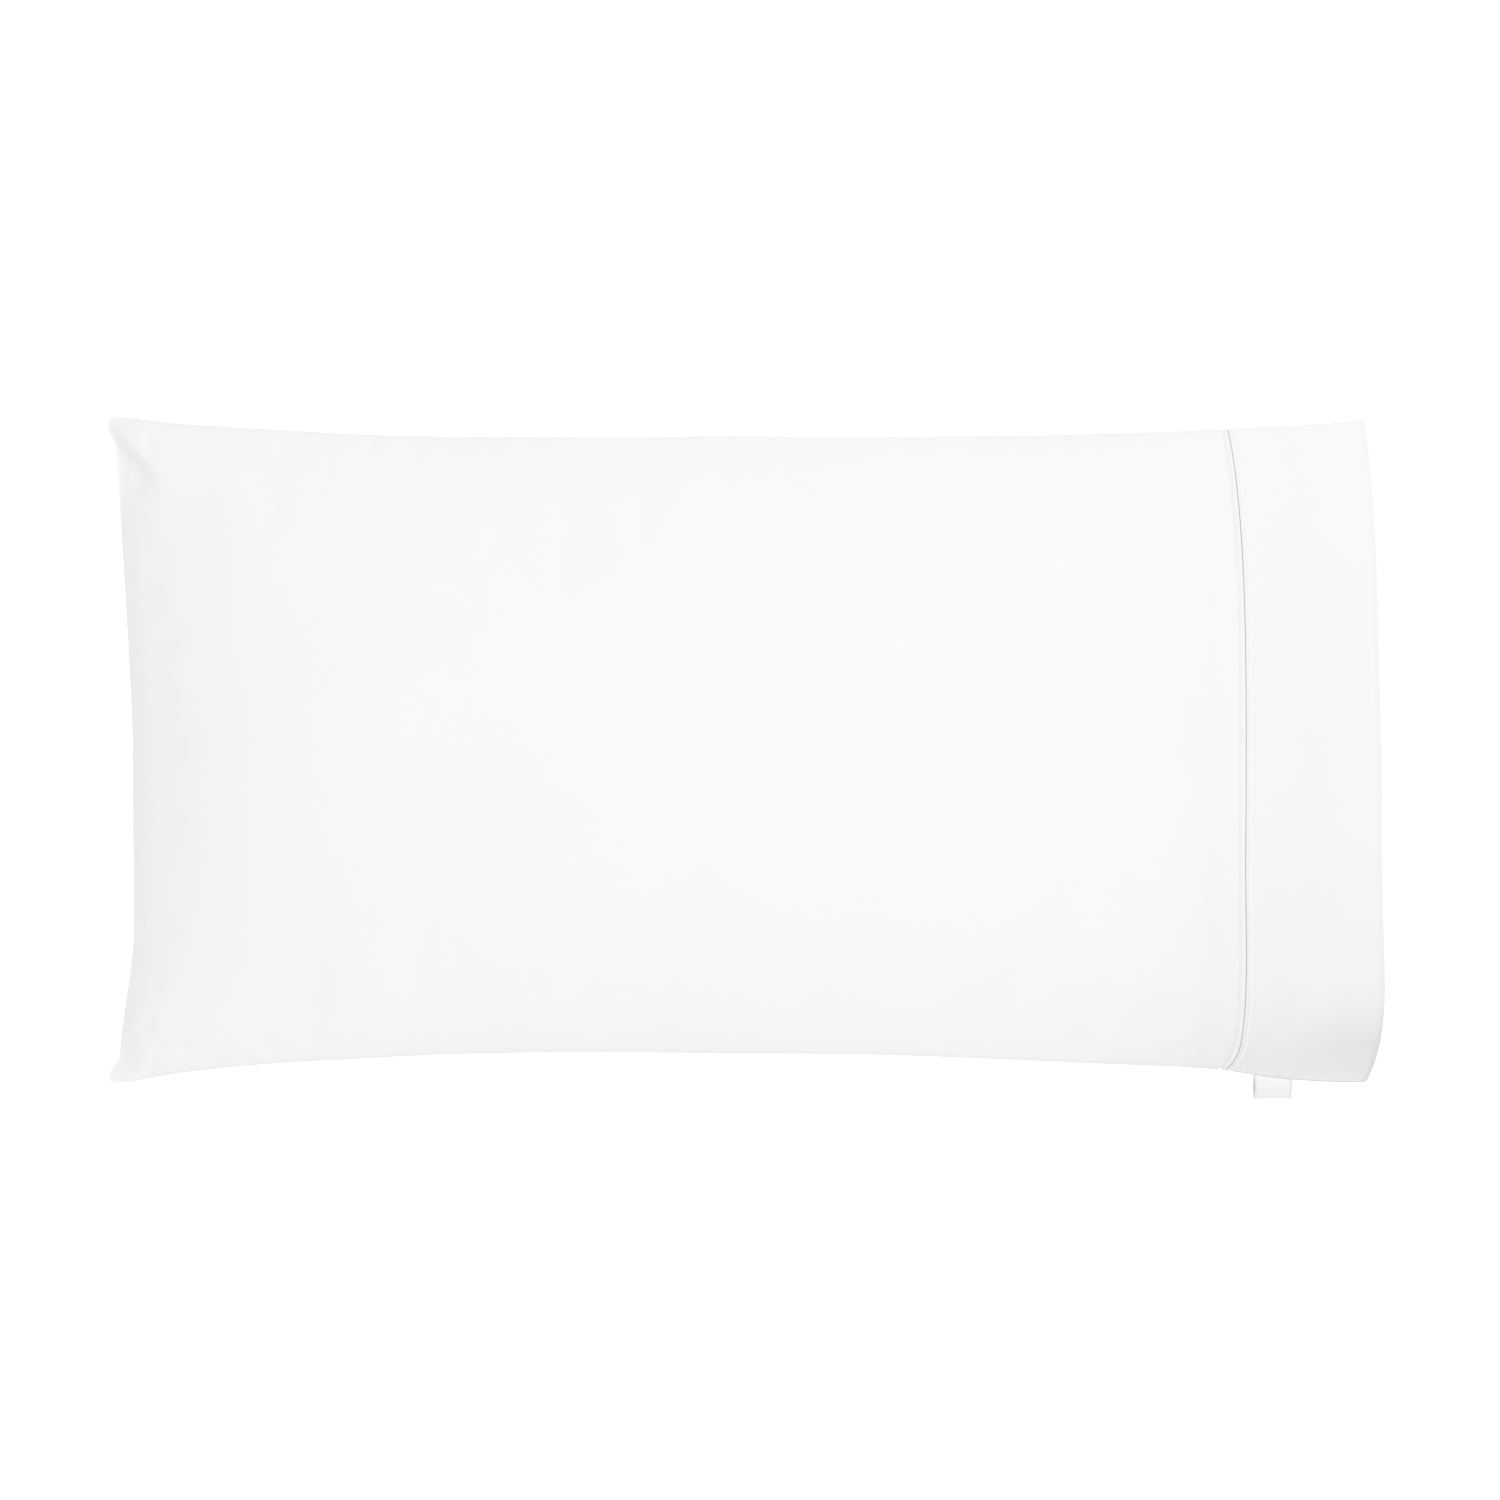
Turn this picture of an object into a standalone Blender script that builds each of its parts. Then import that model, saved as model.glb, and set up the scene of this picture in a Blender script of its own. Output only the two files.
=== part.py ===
"""A filled pillowcase with a deep sewn cuff at its open end, lying on its back.

Metres, +Z up. X runs from the closed end to the open mouth, Y across the case, and Z up from the
surface it lies on. The origin is in the middle of the flat underside.

The case was cut and sewn flat, 0.533 m wide, so every section across it has the same girth: where
its contents make it thick it draws in, and where it is empty it lies wide and flat. The stations
below hold that form, and the body, the cuff and the label all take their places from it.
"""

import math
from collections import namedtuple

import bmesh
import bpy

# Cloth, as it is sewn
SEWN_EDGE = 0.002  # two turned layers, at the closed end and along both sides
CUFF_WALL = 0.002  # the doubled hem cloth
TOUCHING_GAP = 0.0003  # between pieces that touch
SIDE_SEAM_BAND = 0.010  # cloth pressed together beside each side seam of the cuff

# The tuck of the body's cloth that laps over the start of the cuff
TUCK_REACH = 0.004
TUCK_THICKNESS = 0.0012
STITCH_PULL = 0.0008  # how far the stitch row draws the cloth in
TUCK_RELIEF_RUN = 0.018  # over which the cuff comes out level with the tuck

# Places along the case, measured at its sides
CLOSED_END = -0.512
CUFF_SEAM = 0.3855
MOUTH = 0.4998

# How filled cloth rises from its edge, and how it lies on the surface
EDGE_POWER = 2.3
FILLED_FULLNESS = 1.5
FAR_EMPTY_FULLNESS = 1.05
NEAR_EMPTY_FULLNESS = 1.50
SINK_POWER = 3.0
CONTACT_SHARE = 0.50  # of the width that lies flat
CONTACT_RISE = 1.8
BELLY_RUN = 0.120  # over which the underside comes down to the surface

# The closed end is hollow in its middle and has an ear at each corner
END_HOLLOW = 0.0225  # of its middle, from the ears' tips
FAR_HOLLOW_POWER = 1.3
NEAR_HOLLOW_RUN = 0.50
END_HOLLOW_RUN = 0.150
END_LIFT = 0.014  # how far its seam stands above the ears in its middle
FAR_EAR_REACH = 0.0045
NEAR_EAR_REACH = 0.0072
EAR_TIP = 0.0085
EAR_WIDTH = 0.0225

# The cuff seam and the mouth bow outwards, most on the near side
BOW = 0.0085
NEAR_SKEW = 0.0036  # and the near part a little more
NEAR_SKEW_START = 0.30
NEAR_SKEW_RUN = 0.50
BOW_START = 0.20
FAR_BOW_POWER = 3.4
NEAR_BOW_POWER = 12.0
NEAR_SKEW_POWER = 14.0
NEAR_MOUTH_MORE = 0.0028  # the cuff is this much deeper on its near side
NEAR_MOUTH_START = 0.35
NEAR_MOUTH_RUN = 0.50

# The contents' rounded end, inside the mouth
INNER_END_REACH = 0.048
INNER_END_SIDE = 0.050
INNER_END_MIDDLE = 0.45  # of its height, where its upper and under sides meet
INNER_END_ROWS = 7

# The label, a short tape folded double and sewn into the near side seam of the cuff
LABEL_START = 0.4110
LABEL_WIDTH = 0.0315
LABEL_LENGTH = 0.0175
LABEL_END = 0.2822  # its fold lies square to the case, this far from the middle line
LABEL_LAYER = 0.001
LABEL_SLIT = 0.0009
LABEL_DROOP = 0.003
LABEL_COLUMNS = 6
LABEL_RUN_STEPS = 5
LABEL_FOLD_STEPS = 6

# Divisions
BODY_ROWS = 30
BODY_ROW_EASE = 1.35  # closer rows at the closed end
ACROSS = 30
CUFF_ROWS = 8

# along: place at the sides; far, near: distance from the middle line to each side;
# seam: height of the far side seam; sink: how much lower the near one lies;
# crown: height of the middle of the upper side
Station = namedtuple("Station", "along far near seam sink crown")
STATIONS = (
    Station(-0.512, 0.2662, 0.2684, 0.036, 0.008, 0.051),
    Station(-0.499, 0.2672, 0.2680, 0.037, 0.008, 0.071),
    Station(-0.479, 0.2650, 0.2642, 0.040, 0.008, 0.084),
    Station(-0.452, 0.2616, 0.2594, 0.044, 0.006, 0.097),
    Station(-0.404, 0.2578, 0.2532, 0.051, 0.003, 0.115),
    Station(-0.355, 0.2546, 0.2490, 0.056, 0.001, 0.127),
    Station(-0.307, 0.2514, 0.2460, 0.060, 0.000, 0.135),
    Station(-0.243, 0.2496, 0.2424, 0.063, 0.000, 0.140),
    Station(-0.147, 0.2493, 0.2406, 0.064, 0.000, 0.143),
    Station(-0.020, 0.2496, 0.2412, 0.064, 0.000, 0.143),
    Station(0.107, 0.2496, 0.2427, 0.063, 0.001, 0.139),
    Station(0.202, 0.2503, 0.2466, 0.060, 0.003, 0.131),
    Station(0.283, 0.2523, 0.2511, 0.055, 0.007, 0.118),
    Station(0.347, 0.2553, 0.2546, 0.048, 0.012, 0.102),
    Station(0.387, 0.2577, 0.2586, 0.043, 0.017, 0.088),
    Station(0.430, 0.2604, 0.2654, 0.036, 0.020, 0.069),
    Station(0.463, 0.2626, 0.2683, 0.030, 0.017, 0.054),
    Station(0.500, 0.2665, 0.2693, 0.025, 0.011, 0.042),
)

# Folds of the upper side: each sinks the cloth along a line between two places,
# by its depth at its middle, over its width to each side
Fold = namedtuple("Fold", "start_along start_side end_along end_side width depth")
FOLDS = (
    Fold(-0.515, 0.268, -0.470, 0.214, 0.013, 0.0050),
    Fold(-0.512, -0.262, -0.490, -0.244, 0.010, 0.0025),
    Fold(-0.430, 0.232, -0.402, 0.190, 0.016, 0.0015),
    Fold(0.340, -0.247, 0.385, -0.236, 0.014, 0.0020),
    Fold(0.405, -0.236, 0.500, -0.232, 0.020, 0.0030),
)


def column_at(along, column):
    """A station column read off at any place, on a smooth curve through the stations."""
    last = len(STATIONS) - 1
    index = 0
    while index < last - 1 and along > STATIONS[index + 1].along:
        index += 1
    here, there = STATIONS[index], STATIONS[index + 1]
    run = there.along - here.along
    share = (along - here.along) / run
    back = 1 - share
    slopes = []
    for middle in (index, index + 1):
        before = STATIONS[max(middle - 1, 0)]
        after = STATIONS[min(middle + 1, last)]
        rise = getattr(after, column) - getattr(before, column)
        slopes.append(rise / (after.along - before.along) * run)
    return (
        getattr(here, column) * (1 + 2 * share) * back**2
        + getattr(there, column) * (3 - 2 * share) * share**2
        + slopes[0] * share * back**2
        - slopes[1] * back * share**2
    )


def limited(share):
    """A share kept between 0 and 1."""
    return min(max(share, 0.0), 1.0)


def smooth_step(share):
    """0 to 1 with a level start and end."""
    share = limited(share)
    return share * share * (3 - 2 * share)


def filled_rise(share, fullness=FILLED_FULLNESS):
    """How high filled cloth stands at a share of the way from its edge to its crown."""
    return (1 - (1 - limited(share)) ** EDGE_POWER) ** (1 / fullness)


def half_width(along, across):
    """Distance from the middle line to the far side seam, or to the near one where across is negative."""
    return column_at(along, "far" if across > 0 else "near")


def shift_along(along, across):
    """How far a cross line has moved along the case: the hollow end, its ears and the bowed mouth."""
    edge_distance = (1 - abs(across)) * half_width(along, across)
    fade = 1 - smooth_step((along - CLOSED_END) / END_HOLLOW_RUN)
    ear_reach = FAR_EAR_REACH if across > 0 else NEAR_EAR_REACH
    if across > 0:
        hollow_share = 1 - across**FAR_HOLLOW_POWER
    else:
        hollow_share = smooth_step((1 + across) / NEAR_HOLLOW_RUN)
    hollow = (END_HOLLOW - ear_reach) * hollow_share
    ear = ear_reach * smooth_step((edge_distance - EAR_TIP) / (EAR_WIDTH - EAR_TIP))
    bow_power = FAR_BOW_POWER if across > 0 else NEAR_BOW_POWER
    bow = BOW * (1 - abs(across) ** bow_power)
    skew = smooth_step((-across - NEAR_SKEW_START) / NEAR_SKEW_RUN) * (1 - abs(across) ** NEAR_SKEW_POWER)
    bow += NEAR_SKEW * skew
    bow *= smooth_step((along - BOW_START) / (CUFF_SEAM - BOW_START))
    cuff_share = limited((along - CUFF_SEAM) / (MOUTH - CUFF_SEAM))
    deeper = NEAR_MOUTH_MORE * smooth_step((NEAR_MOUTH_START - across) / NEAR_MOUTH_RUN) * cuff_share
    return (hollow + ear) * fade + bow + deeper


def near_sink(along, across):
    """How much lower the near part of the case lies than the far part."""
    return column_at(along, "sink") * max(-across, 0.0) ** SINK_POWER


def fold_depth(x, y):
    """How far the folds sink the upper side at a place."""
    depth = 0.0
    for fold in FOLDS:
        run_x, run_y = fold.end_along - fold.start_along, fold.end_side - fold.start_side
        length = math.hypot(run_x, run_y)
        out_x, out_y = x - fold.start_along, y - fold.start_side
        lengthwise = (out_x * run_x + out_y * run_y) / length
        sideways = (out_y * run_x - out_x * run_y) / length
        middle = 1 - abs(2 * lengthwise / length - 1)
        depth += fold.depth * smooth_step(2 * middle) * math.exp(-((sideways / fold.width) ** 2))
    return depth


def form_point(along, across, upper, inset=0.0, side_inset=0.0):
    """A point of the case's outer form, or of the same form drawn in by an inset.

    along is the place at the sides, and across runs from the near side (-1) to the far side (+1).
    """
    half = half_width(along, across)
    side = across * (half - side_inset)
    across_here = side / half
    x = along + shift_along(along, across_here)
    belly = filled_rise((along - CLOSED_END) / BELLY_RUN)
    seam = column_at(along, "seam")
    lift = END_LIFT * (1 - belly)
    level = seam - near_sink(along, across_here) + lift * (1 - across_here**2)
    if upper:
        emptied = smooth_step((along - CUFF_SEAM) / (MOUTH - CUFF_SEAM))
        empty_fullness = FAR_EMPTY_FULLNESS if across > 0 else NEAR_EMPTY_FULLNESS
        fullness = FILLED_FULLNESS + (empty_fullness - FILLED_FULLNESS) * emptied
        plump = max(column_at(along, "crown") - seam - lift - SEWN_EDGE / 2, 0.0)
        raised = plump * filled_rise(1 - abs(across_here), fullness)
        sunk = min(fold_depth(x, side), raised)
        return x, side, level + SEWN_EDGE / 2 + raised - sunk - inset
    beyond = max(abs(across_here) - CONTACT_SHARE, 0.0) / (1 - CONTACT_SHARE)
    return x, side, (level - SEWN_EDGE / 2) * (1 - belly * (1 - beyond**CONTACT_RISE)) + inset


def across_at(step):
    """Places across the case, closer together towards both sides."""
    return math.sin(math.pi * (step / ACROSS - 0.5))


def inner_end_point(share, across, upper):
    """A point of the contents' rounded end, which closes inside the mouth."""
    start_inset = TUCK_THICKNESS + CUFF_WALL + 3 * TOUCHING_GAP
    start_side = SIDE_SEAM_BAND + 4 * TOUCHING_GAP
    along = CUFF_SEAM - TUCK_REACH + INNER_END_REACH * share
    remains = filled_rise(1 - share)
    side_inset = start_side + INNER_END_SIDE * (1 - remains)
    x, y, roof = form_point(along, across, True, start_inset, side_inset)
    floor = form_point(along, across, False, start_inset, side_inset)[2]
    middle = floor + INNER_END_MIDDLE * (roof - floor)
    edge = SEWN_EDGE / 2
    if upper:
        return x, y, middle + edge + (roof - middle - edge) * remains
    return x, y, middle - edge - (middle - floor - edge) * remains


def body_rows():
    """The rows of the body from its closed end, each as a function and its arguments before across."""
    rows = []
    plain_end = CUFF_SEAM - 2 * TUCK_REACH
    for row in range(BODY_ROWS + 1):
        along = CLOSED_END + (plain_end - CLOSED_END) * (row / BODY_ROWS) ** BODY_ROW_EASE
        rows.append((along, 0.0))
    rows.append((CUFF_SEAM - TUCK_REACH, STITCH_PULL))
    rows.append((CUFF_SEAM - TUCK_REACH / 2, 0.0))
    rows.append((CUFF_SEAM, TOUCHING_GAP))
    rows.append((CUFF_SEAM, TUCK_THICKNESS))
    rows.append((CUFF_SEAM - TUCK_REACH, TUCK_THICKNESS))
    return rows


def cuff_rings():
    """Rings of the cuff: out along its outer side, round the hem and back along its inner side."""
    start = CUFF_SEAM - TUCK_REACH + 3 * TOUCHING_GAP
    clear = CUFF_SEAM + TOUCHING_GAP
    hem = CUFF_WALL / 2
    stops = [start] + [clear + (MOUTH - hem - clear) * row / CUFF_ROWS for row in range(CUFF_ROWS + 1)]
    outer = []
    for along in stops:
        relief = 1 - smooth_step((along - clear) / TUCK_RELIEF_RUN)
        outer.append((along, (TUCK_THICKNESS + TOUCHING_GAP) * relief))
    rings = [(along, inset, side_inset_of(inset)) for along, inset in outer]
    rings.append((MOUTH, hem, SIDE_SEAM_BAND / 2))
    rings += [(along, inset + CUFF_WALL, SIDE_SEAM_BAND) for along, inset in reversed(outer)]
    return rings


def side_inset_of(inset):
    """How far the sides are drawn in with a given inset, so that the sewn edges stay closed forms."""
    return 1.4 * inset


def vertices_of(geometry):
    """The vertices in what a bmesh operator gives back."""
    return [item for item in geometry if isinstance(item, bmesh.types.BMVert)]


def shape_body(bm):
    """A grid of rows is doubled into an upper and an under side, and each goes to its place."""
    rows = body_rows()
    inner_start = len(rows)
    last = inner_start + INNER_END_ROWS
    bmesh.ops.create_grid(bm, x_segments=last, y_segments=ACROSS, size=0.5)
    row_of = bm.verts.layers.int.new("row")
    step_of = bm.verts.layers.int.new("step")
    for vert in bm.verts:
        vert[row_of] = round((vert.co.x + 0.5) * last)
        vert[step_of] = round((vert.co.y + 0.5) * ACROSS)
    upper_side = list(bm.verts)
    drawn = bmesh.ops.extrude_face_region(bm, geom=bm.faces[:], use_keep_orig=True)["geom"]
    for side, upper in ((upper_side, True), (vertices_of(drawn), False)):
        for vert in side:
            row, across = vert[row_of], across_at(vert[step_of])
            if row < inner_start:
                along, inset = rows[row]
                vert.co = form_point(along, across, upper, inset, side_inset_of(inset))
            else:
                share = math.sin(math.pi / 2 * (row - inner_start) / INNER_END_ROWS)
                vert.co = inner_end_point(share, across, upper)


def shape_cuff(bm):
    """A ring is drawn out along the outer side, round the hem and back inside, and joined to its start."""
    rings = cuff_rings()
    count = 2 * ACROSS
    step_of = bm.verts.layers.int.new("step")
    first = bmesh.ops.create_circle(bm, segments=count, radius=1.0)["verts"]
    for vert in first:
        vert[step_of] = round(math.atan2(vert.co.y, vert.co.x) / (2 * math.pi) * count) % count

    def place(verts, ring):
        along, inset, side_inset = ring
        for vert in verts:
            step = vert[step_of]
            upper = step <= ACROSS
            across = across_at(ACROSS - step if upper else step - ACROSS)
            vert.co = form_point(along, across, upper, inset, side_inset)

    place(first, rings[0])
    start_edges = list(bm.edges)
    edges = start_edges
    for ring in rings[1:]:
        drawn = bmesh.ops.extrude_edge_only(bm, edges=edges)["geom"]
        place(vertices_of(drawn), ring)
        edges = [item for item in drawn if isinstance(item, bmesh.types.BMEdge) and item.is_boundary]
    bmesh.ops.bridge_loops(bm, edges=start_edges + edges)


def label_line(share):
    """The tape's middle line as (out from the seam, height), and the way its outer face looks."""
    radius = (LABEL_SLIT + LABEL_LAYER) / 2
    flat_run = LABEL_LENGTH - LABEL_LAYER / 2 - radius
    fold_run = math.pi * radius
    place = share * (2 * flat_run + fold_run)
    if place <= flat_run:
        out, height, facing = place, radius, math.pi / 2
    elif place >= flat_run + fold_run:
        out, height, facing = 2 * flat_run + fold_run - place, -radius, -math.pi / 2
    else:
        facing = math.pi / 2 - (place - flat_run) / radius
        out = flat_run + radius * math.cos(facing)
        height = radius * math.sin(facing)
    return out, height, facing


def label_shares():
    """Places along the tape: level steps on both runs, finer ones round the fold."""
    radius = (LABEL_SLIT + LABEL_LAYER) / 2
    flat_run = LABEL_LENGTH - LABEL_LAYER / 2 - radius
    fold_run = math.pi * radius
    run_share = flat_run / (2 * flat_run + fold_run)
    first = [run_share * step / LABEL_RUN_STEPS for step in range(LABEL_RUN_STEPS)]
    fold = [run_share + (1 - 2 * run_share) * step / LABEL_FOLD_STEPS for step in range(LABEL_FOLD_STEPS + 1)]
    return first + fold + [1 - share for share in reversed(first)]


def shape_label(bm):
    """A strip of the tape gets its thickness, folds double and takes its place at the side seam."""
    shares = label_shares()
    last = len(shares) - 1
    flat_run = LABEL_LENGTH - LABEL_LAYER - LABEL_SLIT / 2
    bmesh.ops.create_grid(bm, x_segments=LABEL_COLUMNS, y_segments=last, size=0.5)
    step_of = bm.verts.layers.int.new("step")
    for vert in bm.verts:
        vert[step_of] = round((vert.co.y + 0.5) * last)
    outer_side = list(bm.verts)
    drawn = bmesh.ops.extrude_face_region(bm, geom=bm.faces[:], use_keep_orig=True)["geom"]
    for side, offset in ((outer_side, LABEL_LAYER / 2), (vertices_of(drawn), -LABEL_LAYER / 2)):
        for vert in side:
            along = LABEL_START + (vert.co.x + 0.5) * LABEL_WIDTH
            out, height, facing = label_line(shares[vert[step_of]])
            out += offset * math.cos(facing)
            height += offset * math.sin(facing) - LABEL_DROOP * (out / LABEL_LENGTH) ** 2
            root = half_width(along, -1) + TOUCHING_GAP
            out += (LABEL_END - root - LABEL_LENGTH) * min(out / flat_run, 1.0)
            seam = column_at(along, "seam") - near_sink(along, -1.0)
            vert.co = (along, -root - out, seam + height)


def material(name, colour, roughness):
    """A plain finish of one colour."""
    finish = bpy.data.materials.new(name)
    finish.use_nodes = True
    shader = finish.node_tree.nodes["Principled BSDF"]
    shader.inputs["Base Color"].default_value = (*colour, 1.0)
    shader.inputs["Roughness"].default_value = roughness
    shader.inputs["Metallic"].default_value = 0.0
    return finish


def add_piece(name, shape, finish, sharp_angle, holder):
    """A named piece from its shaping function, smooth apart from its sharp edges."""
    bm = bmesh.new()
    shape(bm)
    bmesh.ops.recalc_face_normals(bm, faces=bm.faces)
    mesh = bpy.data.meshes.new(name)
    bm.to_mesh(mesh)
    bm.free()
    mesh.shade_smooth()
    mesh.set_sharp_from_angle(angle=math.radians(sharp_angle))
    mesh.materials.append(finish)
    piece = bpy.data.objects.new(name, mesh)
    piece.parent = holder
    bpy.context.collection.objects.link(piece)


for old in list(bpy.data.objects):
    bpy.data.objects.remove(old)

pillowcase = bpy.data.objects.new("pillowcase", None)
bpy.context.collection.objects.link(pillowcase)
cotton = material("white_cotton", (0.88, 0.89, 0.92), 0.8)
tape = material("white_label_tape", (0.90, 0.90, 0.91), 0.6)
add_piece("case_body", shape_body, cotton, 50, pillowcase)
add_piece("cuff", shape_cuff, cotton, 50, pillowcase)
add_piece("label", shape_label, tape, 40, pillowcase)
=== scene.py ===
"""Looks of a filled king-size pillowcase: its percale body, hemmed cuff, hemstitching and side label.

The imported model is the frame. X runs from the closed end to the open mouth, Y across the case and
Z up from the surface it lies on, all in metres. The case was cut and sewn flat, so its form is one
family of cross sections with the same girth, and every piece below takes its place from it.
"""

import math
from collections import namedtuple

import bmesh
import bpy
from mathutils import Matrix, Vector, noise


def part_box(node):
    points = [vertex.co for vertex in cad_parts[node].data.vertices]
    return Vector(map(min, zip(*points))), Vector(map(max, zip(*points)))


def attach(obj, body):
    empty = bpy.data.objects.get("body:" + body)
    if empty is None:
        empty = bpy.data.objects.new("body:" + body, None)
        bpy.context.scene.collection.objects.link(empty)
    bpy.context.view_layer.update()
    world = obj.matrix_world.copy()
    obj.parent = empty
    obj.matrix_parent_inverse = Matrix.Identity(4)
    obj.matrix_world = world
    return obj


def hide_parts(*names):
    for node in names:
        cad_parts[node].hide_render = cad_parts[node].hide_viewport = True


bl_info = {
    "name": "Filled king-size pillowcase",
    "version": (1, 0, 0),
    "blender": (4, 5, 0),
    "location": "3D View > Sidebar > Pillowcase",
    "description": "Makes the cloth, hemstitching and label of a filled pillowcase",
    "category": "Object",
}

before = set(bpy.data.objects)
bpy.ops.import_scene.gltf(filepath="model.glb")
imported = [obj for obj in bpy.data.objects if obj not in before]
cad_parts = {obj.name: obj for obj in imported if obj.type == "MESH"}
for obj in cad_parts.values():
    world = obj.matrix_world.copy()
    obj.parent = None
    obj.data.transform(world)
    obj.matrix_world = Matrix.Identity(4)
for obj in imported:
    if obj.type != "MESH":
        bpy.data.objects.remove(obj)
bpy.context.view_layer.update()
LABEL_LOW, LABEL_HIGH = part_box("label")

# Places along the case, as its solids have them; the seam and the mouth are given at the sides
CLOSED_END = -0.512
CUFF_SEAM = 0.3855
MOUTH = 0.4998

# The flat cloth
FLAT_WIDTH = 0.533  # of a king-size case

# Cross sections: the fuller one is, the sooner it stands up from its edges
EDGE_POWER = 2.3
FILLED_FULLNESS = 1.5
FAR_EMPTY_FULLNESS = 1.05
NEAR_EMPTY_FULLNESS = 1.50
SINK_POWER = 3.0  # how late the near part of a section bends down to its seam
CONTACT_SHARE = 0.50  # of the half width lies flat
CONTACT_RISE = 1.8  # how softly the underside leaves the surface it lies on
BELLY_RUN = 0.120  # the underside comes down over this length at the closed end
SEWN_EDGE = 0.002  # thickness of the sewn edge between the two sides
SIDE_INSET = 1.4  # the sides draw in by this many times a layer's depth

# The closed end: hollow between its two ears, its middle lifted
END_HOLLOW = 0.0225  # of its middle, from the ears' tips
FAR_HOLLOW_POWER = 1.3
NEAR_HOLLOW_RUN = 0.50
END_HOLLOW_RUN = 0.150
END_LIFT = 0.014
FAR_EAR_REACH = 0.0045
NEAR_EAR_REACH = 0.0072
EAR_TIP = 0.0085
EAR_WIDTH = 0.0225

# The open end: the hemstitched edge and the mouth bow out, and the near part a little more
BOW = 0.0085
BOW_START = 0.20
FAR_BOW_POWER = 3.4
NEAR_BOW_POWER = 12.0
NEAR_SKEW = 0.0036
NEAR_SKEW_START = 0.30
NEAR_SKEW_RUN = 0.50
NEAR_SKEW_POWER = 14.0
SEAM_SQUARENESS = 2.0  # the hemstitched edge turns later and sharper at its near end than the mouth
NEAR_MOUTH_MORE = 0.0028  # the cuff is this much deeper on its near side
NEAR_MOUTH_START = 0.35
NEAR_MOUTH_RUN = 0.50

# along: place at the sides; far, near: distance from the middle line to each side;
# seam: height of the far side seam; sink: how much lower the near one lies;
# crown: height of the middle of the upper side
Station = namedtuple("Station", "along far near seam sink crown")
STATIONS = (
    Station(-0.512, 0.2662, 0.2684, 0.036, 0.008, 0.051),
    Station(-0.499, 0.2672, 0.2680, 0.037, 0.008, 0.071),
    Station(-0.479, 0.2650, 0.2642, 0.040, 0.008, 0.084),
    Station(-0.452, 0.2616, 0.2594, 0.044, 0.006, 0.097),
    Station(-0.404, 0.2578, 0.2532, 0.051, 0.003, 0.115),
    Station(-0.355, 0.2546, 0.2490, 0.056, 0.001, 0.127),
    Station(-0.307, 0.2514, 0.2460, 0.060, 0.000, 0.135),
    Station(-0.243, 0.2496, 0.2424, 0.063, 0.000, 0.140),
    Station(-0.147, 0.2493, 0.2406, 0.064, 0.000, 0.143),
    Station(-0.020, 0.2496, 0.2412, 0.064, 0.000, 0.143),
    Station(0.107, 0.2496, 0.2427, 0.063, 0.001, 0.139),
    Station(0.202, 0.2503, 0.2466, 0.060, 0.003, 0.131),
    Station(0.283, 0.2523, 0.2511, 0.055, 0.007, 0.118),
    Station(0.347, 0.2553, 0.2546, 0.048, 0.012, 0.102),
    Station(0.387, 0.2577, 0.2586, 0.043, 0.017, 0.088),
    Station(0.430, 0.2604, 0.2654, 0.036, 0.020, 0.069),
    Station(0.463, 0.2626, 0.2683, 0.030, 0.017, 0.054),
    Station(0.500, 0.2665, 0.2693, 0.025, 0.011, 0.042),
)

# Folds sink the upper side along a line, from its start to its end in plan; a negative depth is a ridge.
# left, right: widths of the flanks; where left is 0 the cloth breaks sharply along the line
# rise, fall: shares of the length over which the fold deepens and fades
# In order: the far ear's crease and the swell beside it, the swell across the near ear, four small
# folds along the seams, and at the mouth's near corner a trough and the swell beside it.
Fold = namedtuple("Fold", "start_along start_side end_along end_side left right depth rise fall")
FOLDS = (
    Fold(-0.5135, 0.2657, -0.4585, 0.2093, 0.000, 0.0135, 0.0092, 0.38, 0.34),
    Fold(-0.5125, 0.2672, -0.4300, 0.1860, 0.080, 0.0120, -0.0080, 0.22, 0.70),
    Fold(-0.464, -0.285, -0.464, -0.165, 0.028, 0.060, -0.0060, 0.25, 0.40),
    Fold(-0.512, -0.262, -0.490, -0.244, 0.008, 0.010, 0.0022, 0.25, 0.25),
    Fold(-0.424, 0.250, -0.370, 0.200, 0.010, 0.012, 0.0005, 0.25, 0.25),
    Fold(-0.455, 0.244, -0.415, 0.196, 0.010, 0.014, 0.0004, 0.25, 0.25),
    Fold(0.330, -0.252, 0.385, -0.240, 0.012, 0.010, 0.0025, 0.25, 0.25),
    Fold(0.375, -0.2660, 0.560, -0.2660, 0.036, 0.010, 0.0050, 0.25, 0.20),
    Fold(0.430, -0.2120, 0.570, -0.2120, 0.045, 0.028, -0.0040, 0.35, 0.20),
)
RIDGE_ROOM = 0.004  # a ridge has half its height where it lies this far above the seam
FOLD_END = -0.30  # up to here the folds are pressed in after the cloth has settled, and beyond it before
LEAST_ROOM = 0.00001  # for the folds that are pressed in at a seam

# Rows of the hemstitched edge, from the plain cloth to the turned lip over the cuff.
# back: distance from the lip's front along the case; sunk: how far below the form the cloth lies
LipRow = namedtuple("LipRow", "back sunk")
LIP_ROWS = (
    LipRow(0.0105, 0.0000),
    LipRow(0.0080, 0.0000),
    LipRow(0.0062, 0.0000),
    LipRow(0.0056, 0.0002),
    LipRow(0.0051, 0.0008),
    LipRow(0.0046, 0.0010),
    LipRow(0.0040, 0.0008),
    LipRow(0.0034, 0.0010),
    LipRow(0.0029, 0.0007),
    LipRow(0.0024, 0.0000),
    LipRow(0.0018, -0.0003),
    LipRow(0.0011, -0.0003),
    LipRow(0.0005, 0.0000),
    LipRow(0.0001, 0.0005),
    LipRow(0.0004, 0.0011),
    LipRow(0.0040, 0.0015),
)

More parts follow.
